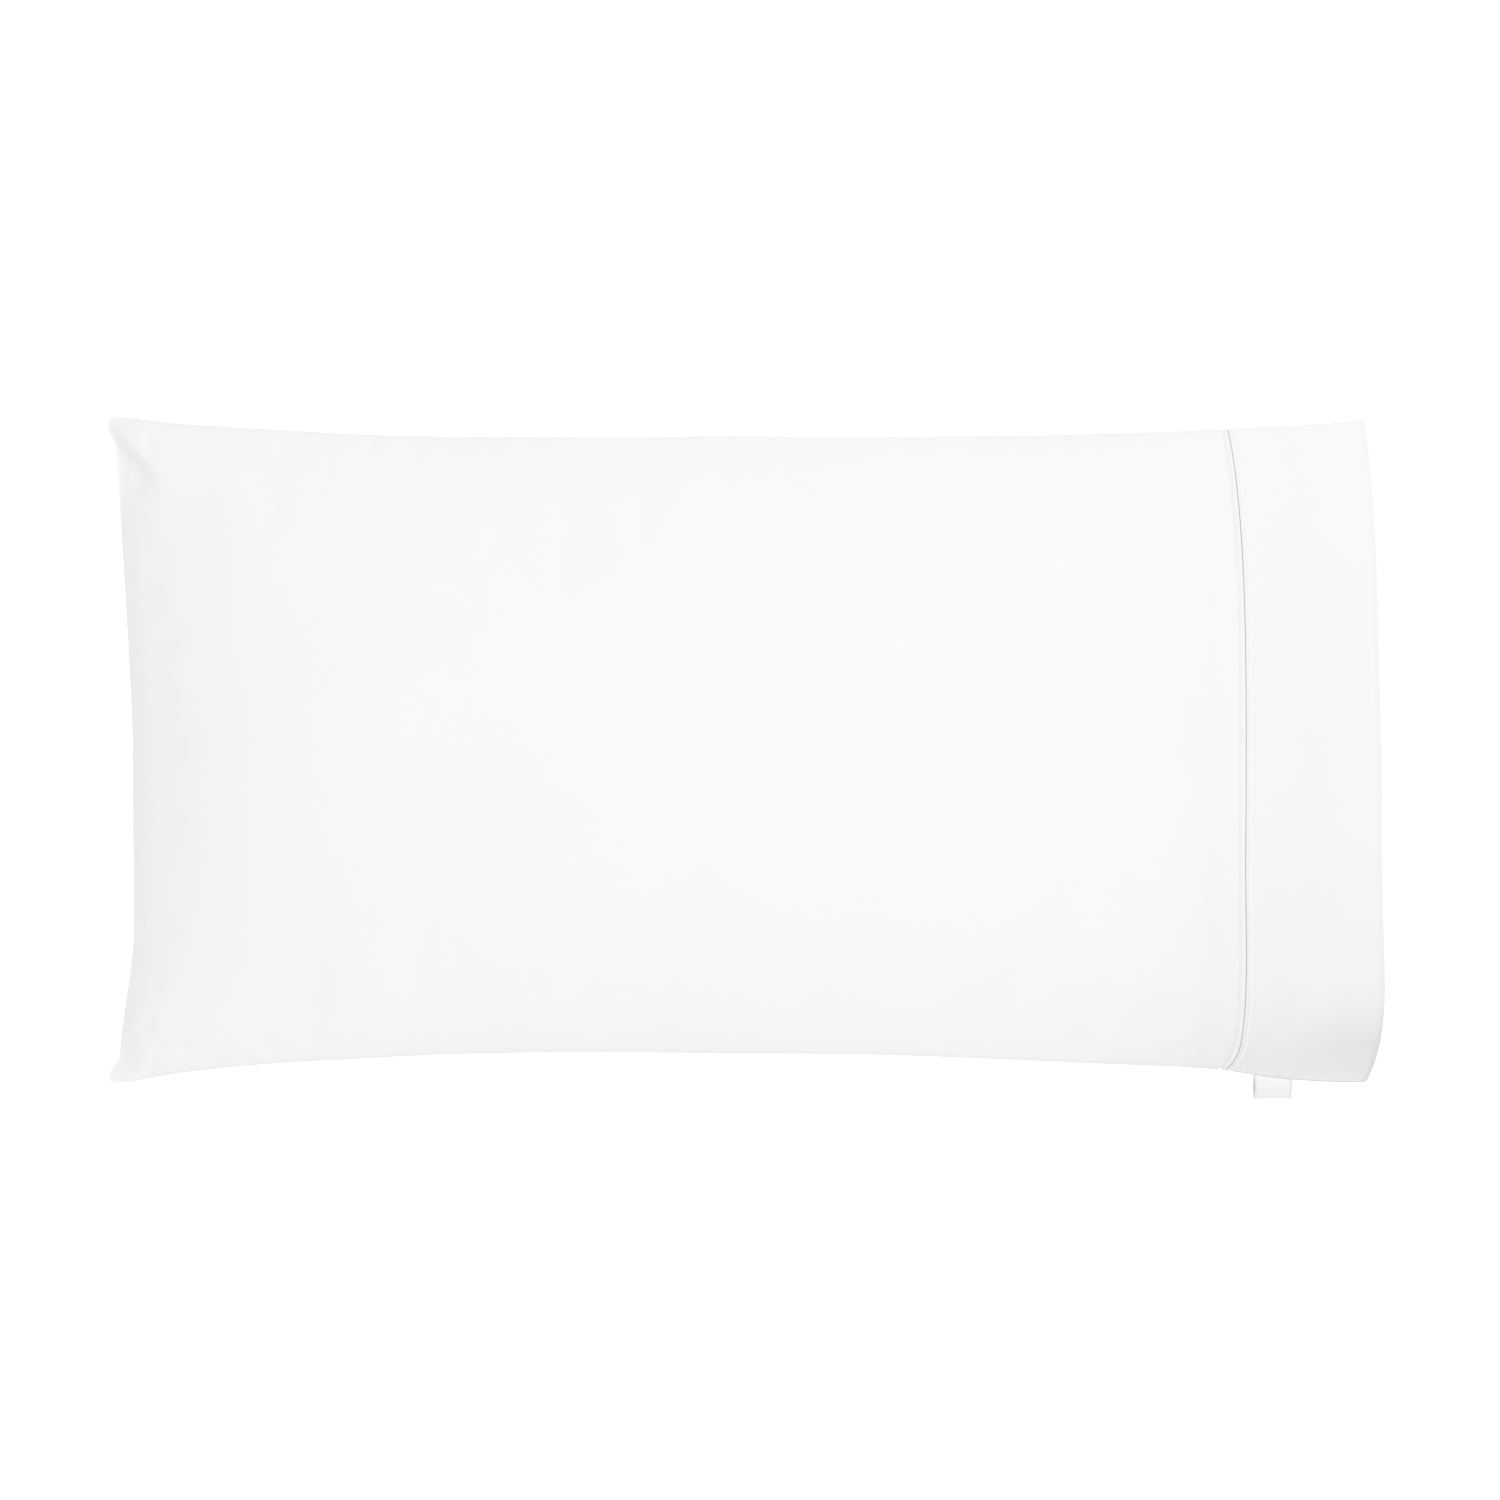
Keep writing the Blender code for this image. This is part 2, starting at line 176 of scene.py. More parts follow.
# The same for the cuff: ahead is the distance past the lip's front
CuffRow = namedtuple("CuffRow", "ahead sunk")
CUFF_ROWS = (
    CuffRow(-0.0030, 0.0021),
    CuffRow(-0.0010, 0.0020),
    CuffRow(0.0000, 0.0016),
    CuffRow(0.0002, 0.0009),
    CuffRow(0.0005, 0.0002),
    CuffRow(0.0010, -0.0002),
    CuffRow(0.0019, -0.0001),
    CuffRow(0.0027, 0.0004),
    CuffRow(0.0034, 0.0009),
    CuffRow(0.0041, 0.0007),
    CuffRow(0.0050, 0.0000),
    CuffRow(0.0058, -0.0001),
    CuffRow(0.0075, 0.0001),
)


def linear(hex_colour):
    """An sRGB hex colour as linear red, green and blue."""
    values = [int(hex_colour[start:start + 2], 16) / 255 for start in (0, 2, 4)]
    return tuple(v / 12.92 if v <= 0.04045 else ((v + 0.055) / 1.055) ** 2.4 for v in values)


def limited(share):
    """A share kept between 0 and 1."""
    return min(max(share, 0.0), 1.0)


def smooth_step(share):
    """0 to 1 with a level start and end."""
    share = limited(share)
    return share * share * (3 - 2 * share)


def column_at(along, column):
    """A station column read off at any place, on a smooth curve through the stations."""
    last = len(STATIONS) - 1
    index = 0
    while index < last - 1 and along > STATIONS[index + 1].along:
        index += 1
    here, there = STATIONS[index], STATIONS[index + 1]
    run = there.along - here.along
    share = (along - here.along) / run
    back = 1 - share
    slopes = []
    for middle in (index, index + 1):
        before = STATIONS[max(middle - 1, 0)]
        after = STATIONS[min(middle + 1, last)]
        rise = getattr(after, column) - getattr(before, column)
        slopes.append(rise / (after.along - before.along) * run)
    return (
        getattr(here, column) * (1 + 2 * share) * back**2
        + getattr(there, column) * (3 - 2 * share) * share**2
        + slopes[0] * share * back**2
        - slopes[1] * back * share**2
    )


def filled_rise(share, fullness=FILLED_FULLNESS):
    """How high filled cloth stands at a share of the way from its edge to its crown."""
    return (1 - (1 - limited(share)) ** EDGE_POWER) ** (1 / fullness)


def half_width(along, across):
    """Distance from the middle line to the far side seam, or to the near one where across is negative."""
    return column_at(along, "far" if across > 0 else "near")


def shift_along(along, across):
    """How far a cross line has moved along the case: the hollow end, its ears and the bowed mouth."""
    edge_distance = (1 - abs(across)) * half_width(along, across)
    fade = 1 - smooth_step((along - CLOSED_END) / END_HOLLOW_RUN)
    ear_reach = FAR_EAR_REACH if across > 0 else NEAR_EAR_REACH
    if across > 0:
        hollow_share = 1 - across**FAR_HOLLOW_POWER
    else:
        hollow_share = smooth_step((1 + across) / NEAR_HOLLOW_RUN)
    hollow = (END_HOLLOW - ear_reach) * hollow_share
    ear = ear_reach * smooth_step((edge_distance - EAR_TIP) / (EAR_WIDTH - EAR_TIP))
    cuff_share = limited((along - CUFF_SEAM) / (MOUTH - CUFF_SEAM))
    squareness = SEAM_SQUARENESS + (1 - SEAM_SQUARENESS) * cuff_share
    bow_power = FAR_BOW_POWER if across > 0 else NEAR_BOW_POWER * squareness
    bow = BOW * (1 - abs(across) ** bow_power)
    skew = smooth_step((-across - NEAR_SKEW_START) / NEAR_SKEW_RUN)
    bow += NEAR_SKEW * skew * (1 - abs(across) ** (NEAR_SKEW_POWER * squareness))
    bow *= smooth_step((along - BOW_START) / (CUFF_SEAM - BOW_START))
    deeper = NEAR_MOUTH_MORE * smooth_step((NEAR_MOUTH_START - across) / NEAR_MOUTH_RUN) * cuff_share
    return (hollow + ear) * fade + bow + deeper


def near_sink(along, across):
    """How much lower the near part of the case lies than the far part."""
    return column_at(along, "sink") * max(-across, 0.0) ** SINK_POWER


def fold_depth(x, y):
    """How far the folds sink the upper side at a place."""
    depth = 0.0
    for fold in FOLDS:
        run_x, run_y = fold.end_along - fold.start_along, fold.end_side - fold.start_side
        length = math.hypot(run_x, run_y)
        out_x, out_y = x - fold.start_along, y - fold.start_side
        share = (out_x * run_x + out_y * run_y) / length**2
        leftwards = (out_y * run_x - out_x * run_y) / length
        if fold.left == 0:
            reach = max(-leftwards, 0.0) / fold.right
            profile = reach * math.exp(1 - reach)
        else:
            width = fold.left if leftwards > 0 else fold.right
            profile = math.exp(-((leftwards / width) ** 2))
        fade = smooth_step(share / fold.rise) * smooth_step((1 - share) / fold.fall)
        depth += fold.depth * profile * fade
    return depth


def soft_sink(depth, room):
    """A fold's depth where the cloth has so much room to sink; troughs and ridges both end at no room."""
    if room <= 0.0:
        return 0.0
    if depth > 0:
        return room * (1 - math.exp(-depth / room))
    return depth * room / (room + RIDGE_ROOM)


def end_lift(along):
    """How much higher the middle of the closed end's seam lies than its ends."""
    return END_LIFT * (1 - filled_rise((along - CLOSED_END) / BELLY_RUN))


def seam_level(along, across):
    """Height of the surface on which the sewn edges lie."""
    return column_at(along, "seam") - near_sink(along, across) + end_lift(along) * (1 - across**2)


def form_point(along, across, upper, inset=0.0, side_inset=0.0, folded=True):
    """A point of the case's outer form, or of the same form drawn in by an inset.

    along is the place at the sides, across runs from the near side (-1) to the far side (+1),
    and folded says whether the folds are sunk into the upper side.
    """
    half = half_width(along, across)
    side = across * (half - side_inset)
    across_here = side / half
    x = along + shift_along(along, across_here)
    level = seam_level(along, across_here)
    if upper:
        emptied = smooth_step((along - CUFF_SEAM) / (MOUTH - CUFF_SEAM))
        empty_fullness = FAR_EMPTY_FULLNESS if across > 0 else NEAR_EMPTY_FULLNESS
        fullness = FILLED_FULLNESS + (empty_fullness - FILLED_FULLNESS) * emptied
        lowest = column_at(along, "seam") + end_lift(along) + SEWN_EDGE / 2
        plump = max(column_at(along, "crown") - lowest, 0.0)
        raised = plump * filled_rise(1 - abs(across_here), fullness)
        sunk = soft_sink(fold_depth(x, side), raised) if folded else 0.0
        return Vector((x, side, level + SEWN_EDGE / 2 + raised - sunk - inset))
    belly = filled_rise((along - CLOSED_END) / BELLY_RUN)
    beyond = max(abs(across_here) - CONTACT_SHARE, 0.0) / (1 - CONTACT_SHARE)
    lifted = 1 - belly * (1 - beyond**CONTACT_RISE)
    return Vector((x, side, (level - SEWN_EDGE / 2) * lifted + inset))


def side_inset_of(inset):
    """How far the sides are drawn in with a given inset, so that the sewn edges stay closed forms."""
    return SIDE_INSET * inset


EVEN_SPACING = 0.3  # the rest of the spacing follows a sine


def spaced_across(share):
    """Places across the case for shares from 0 to 1, closer together towards both sides."""
    even = 2 * share - 1
    return EVEN_SPACING * even + (1 - EVEN_SPACING) * math.sin(math.pi / 2 * even)


# Relief: sizes of its drag lines and soft waves, along the case and across it. Both fade out towards
# the side seams and the closed end, where the puckers take over.
RELIEF_HALF_WIDTH = 0.26
STREAK_LENGTH = 0.150
STREAK_WIDTH = 0.011
WAVE_LENGTH = 0.170
WAVE_WIDTH = 0.120
WAVE_SEED = 4.0
SIDE_CALM = 0.04
END_CALM = 0.05
# Places in the noise, so that the sides differ and each seam has its own puckers
UPPER_SEED = 1.0
UNDER_SEED = 2.0
FAR_SEED = 3.0
NEAR_SEED = 5.0
END_SEED = 7.0


def relief(along, across, upper, sizes):
    """How far small ripples lift the cloth: puckers along the seams, drag lines and soft waves."""
    level = UPPER_SEED if upper else UNDER_SEED
    y = across * RELIEF_HALF_WIDTH
    side_distance = (1 - abs(across)) * half_width(along, across)
    end_distance = along - CLOSED_END
    reach = sizes.pucker_reach
    height = 0.0
    for distance, place, seed in (
        (side_distance, along, FAR_SEED if across > 0 else NEAR_SEED),
        (end_distance, y, END_SEED),
    ):
        swell = distance / reach * math.exp(1 - distance / reach)
        wave = noise.noise(Vector((place / sizes.pucker_pitch, seed + level, distance / (4 * reach))))
        height += sizes.pucker_height * swell * wave
    streak = noise.noise(Vector((along / STREAK_LENGTH, y / STREAK_WIDTH, level)))
    soft = noise.noise(Vector((along / WAVE_LENGTH + WAVE_SEED, y / WAVE_WIDTH, level)))
    inner = smooth_step(side_distance / SIDE_CALM) * smooth_step(end_distance / END_CALM)
    return height + inner * (sizes.streak_height * streak + sizes.wave_height * soft)


class CaseSizes(bpy.types.PropertyGroup):
    """Sizes of the cloth, its sewing and its label."""

    filling_pressure: bpy.props.FloatProperty(
        name="Filling pressure", description="Pressure of the filling while the cloth settles",
        default=1.0, min=0.0, max=4.0)
    cloth_ease: bpy.props.FloatProperty(
        name="Cloth ease", description="Share by which the cloth is cut larger than the filled form",
        default=0.01, min=0.0, max=0.05, subtype="FACTOR", precision=3)
    pucker_height: bpy.props.FloatProperty(
        name="Pucker height", description="Height of the small ripples along the sewn edges",
        default=0.0008, min=0.0, unit="LENGTH", precision=4)
    pucker_pitch: bpy.props.FloatProperty(
        name="Pucker pitch", description="Distance between neighbouring ripples",
        default=0.013, min=0.005, unit="LENGTH", precision=4)
    pucker_reach: bpy.props.FloatProperty(
        name="Pucker reach", description="Distance from the seam at which the ripples are highest",
        default=0.009, min=0.002, unit="LENGTH", precision=4)
    streak_height: bpy.props.FloatProperty(
        name="Drag line height", description="Height of the faint lines drawn along the cloth",
        default=0.00010, min=0.0, unit="LENGTH", precision=5)
    wave_height: bpy.props.FloatProperty(
        name="Soft wave height", description="Height of the broad soft waves of the filling",
        default=0.0009, min=0.0, unit="LENGTH", precision=4)
    cloth_thickness: bpy.props.FloatProperty(
        name="Cloth thickness", description="Thickness of one layer of the cuff's cloth",
        default=0.0005, min=0.0002, unit="LENGTH", precision=4)
    stitch_pitch: bpy.props.FloatProperty(
        name="Stitch pitch", description="Distance from one stitch to the next",
        default=0.0027, min=0.001, unit="LENGTH", precision=4)
    stitch_length: bpy.props.FloatProperty(
        name="Stitch length", description="Length of the thread that shows",
        default=0.0022, min=0.0005, unit="LENGTH", precision=4)
    thread_width: bpy.props.FloatProperty(
        name="Thread width", description="Width of the stitching thread",
        default=0.0011, min=0.0002, unit="LENGTH", precision=4)
    label_skew: bpy.props.FloatProperty(
        name="Label skew", description="How far the label's upper layer lies past its lower one",
        default=0.0007, min=0.0, unit="LENGTH", precision=4)
    label_gape: bpy.props.FloatProperty(
        name="Label gape", description="How far the label's loop stands open at its free side",
        default=0.0034, min=0.0, unit="LENGTH", precision=4)


class CaseColours(bpy.types.PropertyGroup):
    """Colours of the finishes."""

    cloth: bpy.props.FloatVectorProperty(
        name="Cloth", description="Bleached cotton percale", subtype="COLOR",
        size=3, min=0.0, max=1.0, default=linear("F4F4F6"))
    thread: bpy.props.FloatVectorProperty(
        name="Thread", description="Mercerised sewing thread", subtype="COLOR",
        size=3, min=0.0, max=1.0, default=linear("F7F7F9"))
    tape: bpy.props.FloatVectorProperty(
        name="Label tape", description="Woven satin label tape", subtype="COLOR",
        size=3, min=0.0, max=1.0, default=linear("FBFBFC"))
    floor: bpy.props.FloatVectorProperty(
        name="Floor", description="Plain pale floor", subtype="COLOR",
        size=3, min=0.0, max=1.0, default=linear("F2F2F2"))


def add_node(tree, kind, settings=None, values=None, links=None):
    """A shader node with its settings, socket values and incoming links."""
    node = tree.nodes.new(kind)
    for name, value in (settings or {}).items():
        setattr(node, name, value)
    for socket, value in (values or {}).items():
        node.inputs[socket].default_value = value
    for socket, source in (links or {}).items():
        tree.links.new(source, node.inputs[socket])
    return node


def grey(level):
    """A neutral colour for a shader socket."""
    return (level, level, level, 1.0)


def new_finish(name):
    """An empty material, its node tree and its output node."""
    finish = bpy.data.materials.new(name)
    finish.use_nodes = True
    finish.node_tree.nodes.clear()
    output = add_node(finish.node_tree, "ShaderNodeOutputMaterial")
    return finish, finish.node_tree, output


def band_scale(pitch):
    """Scale of a wave texture whose bands lie one pitch apart."""
    return math.pi / 10 / pitch


def bleached_percale(colours):
    """Cotton percale, plain woven, bleached and pressed: matt, smooth, with a faint fine grain."""
    finish, tree, output = new_finish("bleached_percale")
    place = add_node(tree, "ShaderNodeUVMap", {"uv_map": "cloth"}).outputs["UV"]
    thread_pitch = 0.0003  # metres between neighbouring threads
    waves = []
    for direction in ("X", "Y"):
        wave = add_node(
            tree, "ShaderNodeTexWave",
            {"wave_type": "BANDS", "bands_direction": direction, "wave_profile": "SIN"},
            {"Scale": band_scale(thread_pitch), "Distortion": 0.0}, {"Vector": place})
        waves.append(wave.outputs["Fac"])
    weave = add_node(
        tree, "ShaderNodeMath", {"operation": "MULTIPLY"}, None, {0: waves[0], 1: waves[1]})
    # Slubs: threads a little thicker than the rest, each a few centimetres long
    slubs_along, slubs_across, clouds = 28.0, 900.0, 9.0  # in each metre of cloth
    slub_place = add_node(
        tree, "ShaderNodeMapping", None, {"Scale": (slubs_along, slubs_across, 1.0)}, {"Vector": place})
    slubs = add_node(
        tree, "ShaderNodeTexNoise", None, {"Scale": 1.0, "Detail": 2.0, "Roughness": 0.55},
        {"Vector": slub_place.outputs["Vector"]})
    cloud = add_node(
        tree, "ShaderNodeTexNoise", None, {"Scale": clouds, "Detail": 2.0}, {"Vector": place})
    tone = add_node(tree, "ShaderNodeMath", {"operation": "MULTIPLY_ADD"}, {1: 0.6},
                    {0: slubs.outputs["Fac"], 2: cloud.outputs["Fac"]})
    ramp = add_node(tree, "ShaderNodeMapRange", None,
                    {"From Min": 0.45, "From Max": 1.15, "To Min": 0.985, "To Max": 1.0},
                    {"Value": tone.outputs["Value"]})
    tint = add_node(tree, "ShaderNodeVectorMath", {"operation": "SCALE"}, {0: tuple(colours.cloth)},
                    {"Scale": ramp.outputs["Result"]})
    fine = add_node(tree, "ShaderNodeBump", None, {"Strength": 0.25, "Distance": 0.00004},
                    {"Height": weave.outputs["Value"]})
    bump = add_node(tree, "ShaderNodeBump", None, {"Strength": 0.30, "Distance": 0.00006},
                    {"Height": slubs.outputs["Fac"], "Normal": fine.outputs["Normal"]})
    shader = add_node(
        tree, "ShaderNodeBsdfPrincipled", None,
        {"Roughness": 0.78, "Specular IOR Level": 0.25, "Sheen Weight": 0.12, "Sheen Roughness": 0.5},
        {"Base Color": tint.outputs["Vector"], "Normal": bump.outputs["Normal"]})
    tree.links.new(shader.outputs["BSDF"], output.inputs["Surface"])
    return finish


def mercerised_thread(colours):
    """Mercerised cotton sewing thread: two plies twisted together, with a soft shine."""
    finish, tree, output = new_finish("mercerised_thread")
    place = add_node(tree, "ShaderNodeTexCoord").outputs["Object"]
    twist = math.radians(32)  # of the plies round the thread
    turned = add_node(tree, "ShaderNodeMapping", None, {"Rotation": (0.0, 0.0, twist)},
                      {"Vector": place})
    ply_pitch = 0.0006  # metres along the thread
    plies = add_node(
        tree, "ShaderNodeTexWave", {"wave_type": "BANDS", "bands_direction": "Y"},
        {"Scale": band_scale(ply_pitch), "Distortion": 0.0}, {"Vector": turned.outputs["Vector"]})
    bump = add_node(tree, "ShaderNodeBump", None, {"Strength": 0.4, "Distance": 0.0001},
                    {"Height": plies.outputs["Fac"]})
    shader = add_node(
        tree, "ShaderNodeBsdfPrincipled", None,
        {"Base Color": (*colours.thread, 1.0), "Roughness": 0.5, "Sheen Weight": 0.1},
        {"Normal": bump.outputs["Normal"]})
    tree.links.new(shader.outputs["BSDF"], output.inputs["Surface"])
    return finish


def satin_label_tape(colours):
    """Polyester satin label tape, woven: smooth with a fine rib across it and a soft gleam."""
    finish, tree, output = new_finish("satin_label_tape")
    place = add_node(tree, "ShaderNodeUVMap", {"uv_map": "cloth"}).outputs["UV"]
    rib_pitch = 0.0004  # metres between weft threads
    ribs = add_node(
        tree, "ShaderNodeTexWave", {"wave_type": "BANDS", "bands_direction": "Y"},
        {"Scale": band_scale(rib_pitch), "Distortion": 0.0}, {"Vector": place})
    bump = add_node(tree, "ShaderNodeBump", None, {"Strength": 0.3, "Distance": 0.00005},
                    {"Height": ribs.outputs["Fac"]})
    # Painted shade: the tape is darker in a band along both its edges
    half_tape = (LABEL_HIGH.x - LABEL_LOW.x) / 2
    edge_shade_width = 0.0021
    edge_shade_fade = 0.0002  # to each side of its inner edge
    along = add_node(tree, "ShaderNodeSeparateXYZ", None, None, {"Vector": place}).outputs["X"]
    off_middle = add_node(tree, "ShaderNodeMath", {"operation": "SUBTRACT"}, {1: half_tape}, {0: along})
    distance = add_node(tree, "ShaderNodeMath", {"operation": "ABSOLUTE"}, None,
                        {0: off_middle.outputs["Value"]})
    # painted shade at the tape's edges: full colour inside the band, darker towards both edges
    painted_edge_shade = add_node(tree, "ShaderNodeMapRange", None,
                        {"From Min": half_tape - edge_shade_width - edge_shade_fade,
                         "From Max": half_tape - edge_shade_width + edge_shade_fade,
                         "To Min": 1.0, "To Max": 0.93},
                        {"Value": distance.outputs["Value"]})
    tint = add_node(tree, "ShaderNodeVectorMath", {"operation": "SCALE"}, {0: tuple(colours.tape)},
                    {"Scale": painted_edge_shade.outputs["Result"]})
    shader = add_node(
        tree, "ShaderNodeBsdfPrincipled", None, {"Roughness": 0.45, "Sheen Weight": 0.2},
        {"Base Color": tint.outputs["Vector"], "Normal": bump.outputs["Normal"]})
    tree.links.new(shader.outputs["BSDF"], output.inputs["Surface"])
    return finish


def vertices_of(geometry):
    """The vertices in what a bmesh operator gives back."""
    return [item for item in geometry if isinstance(item, bmesh.types.BMVert)]


def piece_from(bm, name, finish):
    """A smooth object at the origin, made from a bmesh and given its finish."""
    mesh = bpy.data.meshes.new(name)
    bm.to_mesh(mesh)
    bm.free()
    mesh.shade_smooth()
    mesh.materials.append(finish)
    piece = bpy.data.objects.new(name, mesh)
    bpy.context.scene.collection.objects.link(piece)
    return piece


def apply_modifiers(piece):
    """The piece's mesh becomes what its modifiers make of it."""
    graph = bpy.context.evaluated_depsgraph_get()
    made = bpy.data.meshes.new_from_object(piece.evaluated_get(graph), depsgraph=graph)
    made.name = piece.name
    old = piece.data
    piece.modifiers.clear()
    piece.data = made
    bpy.data.meshes.remove(old)


# The filling's rounded end, inside the mouth
INNER_END_START = 0.004  # behind the cuff's seam
INNER_END_REACH = 0.048
INNER_END_INSET = 0.0046  # inside the form, so that the cuff lies round it
INNER_END_SIDE_START = 0.0115
INNER_END_SIDE = 0.050
INNER_END_MIDDLE = 0.45  # share of the height at which it closes
INNER_END_EDGE = 0.001  # half the height that is left where it closes
INNER_END_ROWS = 6


def inner_end_point(share, across, upper):
    """A point of the filling's rounded end, which closes inside the mouth."""
    along = CUFF_SEAM - INNER_END_START + INNER_END_REACH * share
    remains = filled_rise(1 - share)
    side_inset = INNER_END_SIDE_START + INNER_END_SIDE * (1 - remains)
    roof = form_point(along, across, True, INNER_END_INSET, side_inset)
    floor = form_point(along, across, False, INNER_END_INSET, side_inset)
    middle = floor.z + INNER_END_MIDDLE * (roof.z - floor.z)
    if upper:
        height = middle + INNER_END_EDGE + (roof.z - middle - INNER_END_EDGE) * remains
    else:
        height = middle - INNER_END_EDGE - (middle - floor.z - INNER_END_EDGE) * remains
    return Vector((roof.x, roof.y, height))


# Grid of the body's cloth
BODY_ROWS = 126
BODY_ROW_EASE = 1.3  # rows lie closer together towards the closed end
BODY_ACROSS = 78
LIP_GAP = 0.004  # from the last plain row to the first of the hemstitched edge


def body_row_places():
    """The body's rows from its closed end to its lip, each as (along, sunk)."""
    plain_end = CUFF_SEAM - LIP_ROWS[0].back - LIP_GAP
    rows = []
    for row in range(BODY_ROWS + 1):
        along = CLOSED_END + (plain_end - CLOSED_END) * (row / BODY_ROWS) ** BODY_ROW_EASE
        rows.append((along, 0.0))
    rows += [(CUFF_SEAM - row.back, row.sunk) for row in LIP_ROWS]
    return rows


def body_form():
    """A grid of rows doubled into an upper and an under side, each point at its place on the form."""
    rows = body_row_places()
    last = len(rows) + INNER_END_ROWS
    bm = bmesh.new()
    bmesh.ops.create_grid(bm, x_segments=last, y_segments=BODY_ACROSS, size=0.5)
    row_of = bm.verts.layers.float.new("row")
    along_of = bm.verts.layers.float.new("along")
    across_of = bm.verts.layers.float.new("across")
    side_of = bm.verts.layers.float.new("side")
    for vert in bm.verts:
        vert[row_of] = round((vert.co.x + 0.5) * last)
        vert[across_of] = spaced_across(vert.co.y + 0.5)
    upper_side = list(bm.verts)
    drawn = bmesh.ops.extrude_face_region(bm, geom=bm.faces[:], use_keep_orig=True)["geom"]
    for side, upper in ((upper_side, True), (vertices_of(drawn), False)):
        for vert in side:
            row, across = round(vert[row_of]), vert[across_of]
            if row < len(rows):
                along, sunk = rows[row]
                side_inset = side_inset_of(max(sunk, 0.0))
                vert.co = form_point(along, across, upper, sunk, side_inset, folded=along > FOLD_END)
                vert[along_of] = along
                vert[side_of] = 1.0 if upper else -1.0
            else:
                share = math.sin(math.pi / 2 * (row - len(rows)) / INNER_END_ROWS)
                vert.co = inner_end_point(share, across, upper)
                vert[along_of] = CUFF_SEAM + share
                vert[side_of] = 0.0
    bmesh.ops.recalc_face_normals(bm, faces=bm.faces)
    return bm


RIPPLE_CALM = 0.006  # the cloth beside the hemstitched edge is pressed flat
RIPPLE_FADE = 0.03


def add_ripples(piece, sizes):
    """Moves the body's cloth along its normals by the relief, and presses in the closed end's folds."""
    mesh = piece.data
    along_of = mesh.attributes["along"].data
    across_of = mesh.attributes["across"].data
    side_of = mesh.attributes["side"].data
    moves = []
    for vert in mesh.vertices:
        side = side_of[vert.index].value
        along = along_of[vert.index].value
        fade = smooth_step((CUFF_SEAM - RIPPLE_CALM - along) / RIPPLE_FADE) * abs(side)
        if fade <= 0.0:
            continue
        across = across_of[vert.index].value
        lift = relief(along, across, side > 0, sizes) * fade
        move = vert.normal * lift
        if side > 0 and along <= FOLD_END:
            room = max(vert.co.z - seam_level(along, across) - SEWN_EDGE / 2, LEAST_ROOM)
            move.z -= soft_sink(fold_depth(vert.co.x, vert.co.y), room)
        moves.append((vert, move))
    for vert, move in moves:
        vert.co += move
        vert.co.z = max(vert.co.z, 0.0)


def add_cloth_uv(piece):
    """A UV map in metres of cloth: along the case and across it."""
    mesh = piece.data
    along_of = mesh.attributes["along"].data
    across_of = mesh.attributes["across"].data
    cloth = mesh.uv_layers.new(name="cloth")
    for loop in mesh.loops:
        index = loop.vertex_index
        cloth.data[loop.index].uv = (along_of[index].value, across_of[index].value * FLAT_WIDTH / 2)


# The cloth simulation
SETTLE_FRAMES = 20
SETTLE_CAP = 0.004  # no point of the cloth moves further than this
HELD_REACH = 0.025  # the cloth is held from this far behind the hemstitched edge
HELD_EDGE = 0.006  # and, less and less, up to this far from its seams
CONTACT_HEIGHT = 0.0006  # cloth lower than this rests on the surface


def held_share(along, across, side, height):
    """1 where the cloth is held while it settles: its sewn edges, the mouth's end and its contact face."""
    if side == 0 or along > CUFF_SEAM - HELD_REACH or height < CONTACT_HEIGHT:
        return 1.0
    side_distance = (1 - abs(across)) * half_width(along, across)
    return 1 - smooth_step(min(side_distance, along - CLOSED_END) / HELD_EDGE)


def settle(piece, sizes):
    """A cloth simulation: the filling's pressure rounds the cloth between its held edges."""
    mesh = piece.data
    columns = [[item.value for item in mesh.attributes[name].data] for name in ("along", "across", "side")]
    held = piece.vertex_groups.new(name="held")
    for vert in mesh.vertices:
        along, across, side = (column[vert.index] for column in columns)
        held.add([vert.index], held_share(along, across, side, vert.co.z), "REPLACE")
    cloth = piece.modifiers.new("cloth", "CLOTH")
    settings = cloth.settings
    settings.quality = 5
    settings.mass = 0.15
    settings.tension_stiffness = settings.compression_stiffness = 15.0
    settings.shear_stiffness = 5.0
    settings.bending_stiffness = 0.5
    settings.vertex_group_mass = "held"
    settings.use_pressure = True
    settings.uniform_pressure_force = sizes.filling_pressure
    settings.shrink_min = -sizes.cloth_ease
    settings.effector_weights.gravity = 0.0
    cloth.collision_settings.use_collision = False
    cloth.point_cache.frame_end = SETTLE_FRAMES
    for moment in range(1, SETTLE_FRAMES + 1):
        bpy.context.scene.frame_set(moment)
    settled = piece.evaluated_get(bpy.context.evaluated_depsgraph_get()).data
    moves = [after.co - before.co for before, after in zip(mesh.vertices, settled.vertices)]
    piece.modifiers.remove(cloth)
    piece.vertex_groups.clear()
    bpy.context.scene.frame_set(1)
    for vert, move in zip(mesh.vertices, moves):
        vert.co += move * (SETTLE_CAP / (SETTLE_CAP + move.length))


class PILLOWCASE_OT_body(bpy.types.Operator):
    """Make the filled body of the case, closed at one end and turned under at the cuff"""

    bl_idname = "pillowcase.make_body"
    bl_label = "Filled body"

    def execute(self, context):
        sizes, colours = context.scene.case_sizes, context.scene.case_colours
        piece = piece_from(body_form(), "filled_case", bleached_percale(colours))
        settle(piece, sizes)
        smoother = piece.modifiers.new("smooth", "SUBSURF")
        smoother.levels = smoother.render_levels = 1
        apply_modifiers(piece)
        add_ripples(piece, sizes)
        add_cloth_uv(piece)
        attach(piece, "root")
        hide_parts("case_body")
        return {"FINISHED"}


# Grid of the cuff's cloth
CUFF_AROUND = 300
CUFF_PLAIN_ROWS = 34
CUFF_ROW_EASE = 1.5  # rows lie closer together towards the mouth
